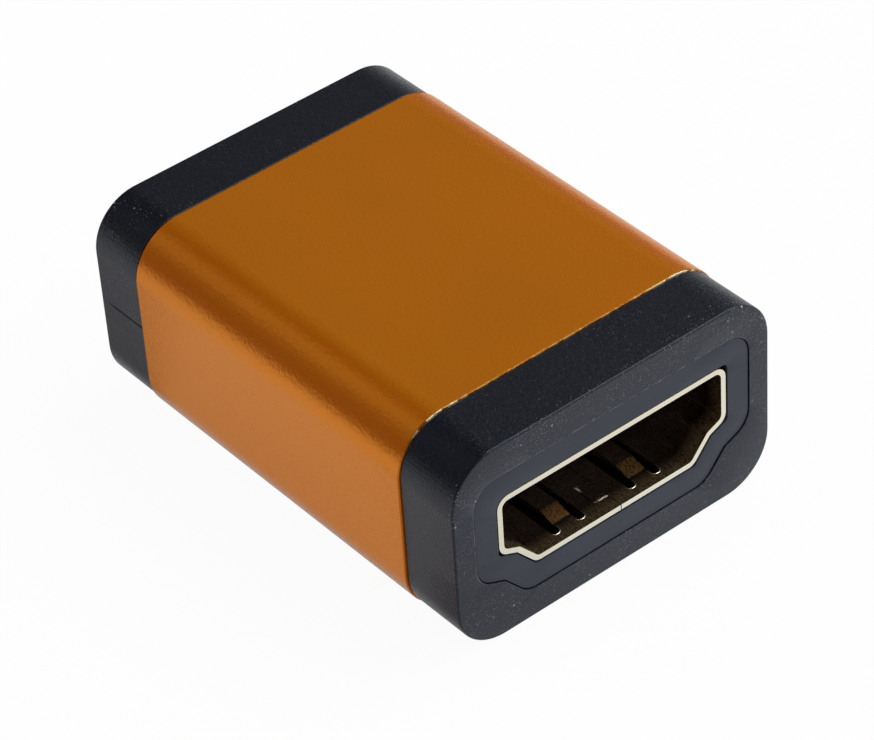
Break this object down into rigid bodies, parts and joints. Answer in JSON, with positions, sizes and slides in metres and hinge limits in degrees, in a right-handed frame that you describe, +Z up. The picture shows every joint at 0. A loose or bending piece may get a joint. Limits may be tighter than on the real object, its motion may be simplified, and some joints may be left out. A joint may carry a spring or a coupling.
{
  "type": "inline video cable coupler",
  "caption": "Straight coupler block with a video cable socket at each end, an orange anodised sleeve and black end caps.",
  "frame": {"origin": "middle of the block's footprint, on the plane of the sleeve's underside", "axes": "+Z up with the wide side of each socket up; Y along the block, the front socket facing -Y; X across"},
  "size_m": [0.0204, 0.0282, 0.0118],
  "materials": {
    "orange_anodised": "satin orange anodised aluminium",
    "cap_plastic": "black plastic with a fine spark texture",
    "inner_plastic": "smooth matt dark grey plastic",
    "plated_shell": "plated sheet metal, pale champagne",
    "insulator_plastic": "black moulded insulator",
    "gold_contact": "gold plated contact strip",
    "circuit_board": "green solder mask"
  },
  "bodies": {
    "root": {"sleeve": "orange_anodised", "circuit_board": "circuit_board", "front_cap": "cap_plastic", "front_inner_mould": "inner_plastic", "front_shell": "plated_shell", "front_insulator": "insulator_plastic", "rear_cap": "cap_plastic", "rear_inner_mould": "inner_plastic", "rear_shell": "plated_shell", "rear_insulator": "insulator_plastic", "front_contact_01": "gold_contact", "front_contact_02": "gold_contact", "front_contact_03": "gold_contact", "front_contact_04": "gold_contact", "front_contact_05": "gold_contact", "front_contact_06": "gold_contact", "front_contact_07": "gold_contact", "front_contact_08": "gold_contact", "front_contact_09": "gold_contact", "front_contact_10": "gold_contact", "front_contact_11": "gold_contact", "front_contact_12": "gold_contact", "front_contact_13": "gold_contact", "front_contact_14": "gold_contact", "front_contact_15": "gold_contact", "front_contact_16": "gold_contact", "front_contact_17": "gold_contact", "front_contact_18": "gold_contact", "front_contact_19": "gold_contact", "rear_contact_01": "gold_contact", "rear_contact_02": "gold_contact", "rear_contact_03": "gold_contact", "rear_contact_04": "gold_contact", "rear_contact_05": "gold_contact", "rear_contact_06": "gold_contact", "rear_contact_07": "gold_contact", "rear_contact_08": "gold_contact", "rear_contact_09": "gold_contact", "rear_contact_10": "gold_contact", "rear_contact_11": "gold_contact", "rear_contact_12": "gold_contact", "rear_contact_13": "gold_contact", "rear_contact_14": "gold_contact", "rear_contact_15": "gold_contact", "rear_contact_16": "gold_contact", "rear_contact_17": "gold_contact", "rear_contact_18": "gold_contact", "rear_contact_19": "gold_contact"}
  },
  "joints": []
}
